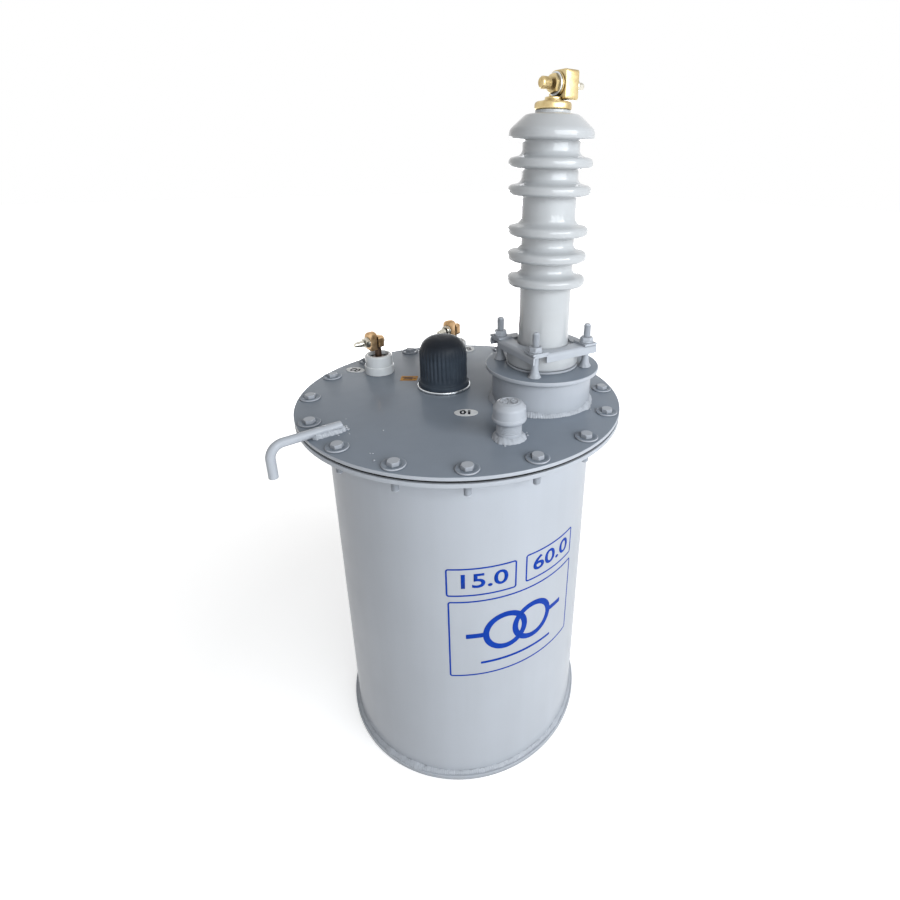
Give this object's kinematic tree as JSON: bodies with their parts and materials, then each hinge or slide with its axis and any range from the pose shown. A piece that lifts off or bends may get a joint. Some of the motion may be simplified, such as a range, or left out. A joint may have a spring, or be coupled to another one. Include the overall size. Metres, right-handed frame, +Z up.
{
  "type": "pole mounted transformer",
  "caption": "Round oil-filled single-phase distribution transformer with a bolted cover, porcelain bushings, lifting hooks and pole hanger brackets.",
  "frame": {"origin": "centre of the base plate's underside, on the tank's axis", "axes": "+Z up along the tank's axis, +Y towards the pole, lifting hooks on -X and +X"},
  "size_m": [0.583, 0.491, 1.0158],
  "materials": {
    "tank_paint": "satin light grey paint",
    "porcelain": "light grey glaze, glossy",
    "brass": "tinned and plain brass, lightly tarnished",
    "black_plastic": "moulded, semi-matte",
    "gasket_rubber": "matte black"
  },
  "bodies": {
    "root": {"base_plate": "tank_paint", "base_weld": "tank_paint", "cover_gasket": "gasket_rubber", "cover_plate": "tank_paint", "hv_bushing": "porcelain", "hv_clamp_back": "tank_paint", "hv_clamp_front": "tank_paint", "hv_clamp_left": "tank_paint", "hv_clamp_nuts": "tank_paint", "hv_clamp_right": "tank_paint", "hv_clamp_studs": "tank_paint", "hv_gasket": "tank_paint", "hv_terminal_block": "brass", "hv_terminal_bolt": "brass", "hv_terminal_nut": "brass", "hv_turret": "tank_paint", "hv_turret_flange": "tank_paint", "hv_turret_weld": "tank_paint", "lifting_hook_left": "tank_paint", "lifting_hook_right": "tank_paint", "lv_bushing_1": "porcelain", "lv_bushing_2": "porcelain", "lv_terminal_1_block": "brass", "lv_terminal_1_bolt": "brass", "lv_terminal_1_jaw": "brass", "lv_terminal_2_block": "brass", "lv_terminal_2_bolt": "brass", "lv_terminal_2_jaw": "brass", "pole_bracket_lower": "tank_paint", "pole_bracket_upper": "tank_paint", "relief_cap": "tank_paint", "relief_pipe": "tank_paint", "relief_weld": "tank_paint", "tank_flange": "tank_paint", "tank_shell": "tank_paint", "tap_cap": "black_plastic", "tap_cap_seat": "tank_paint"}
  },
  "joints": []
}
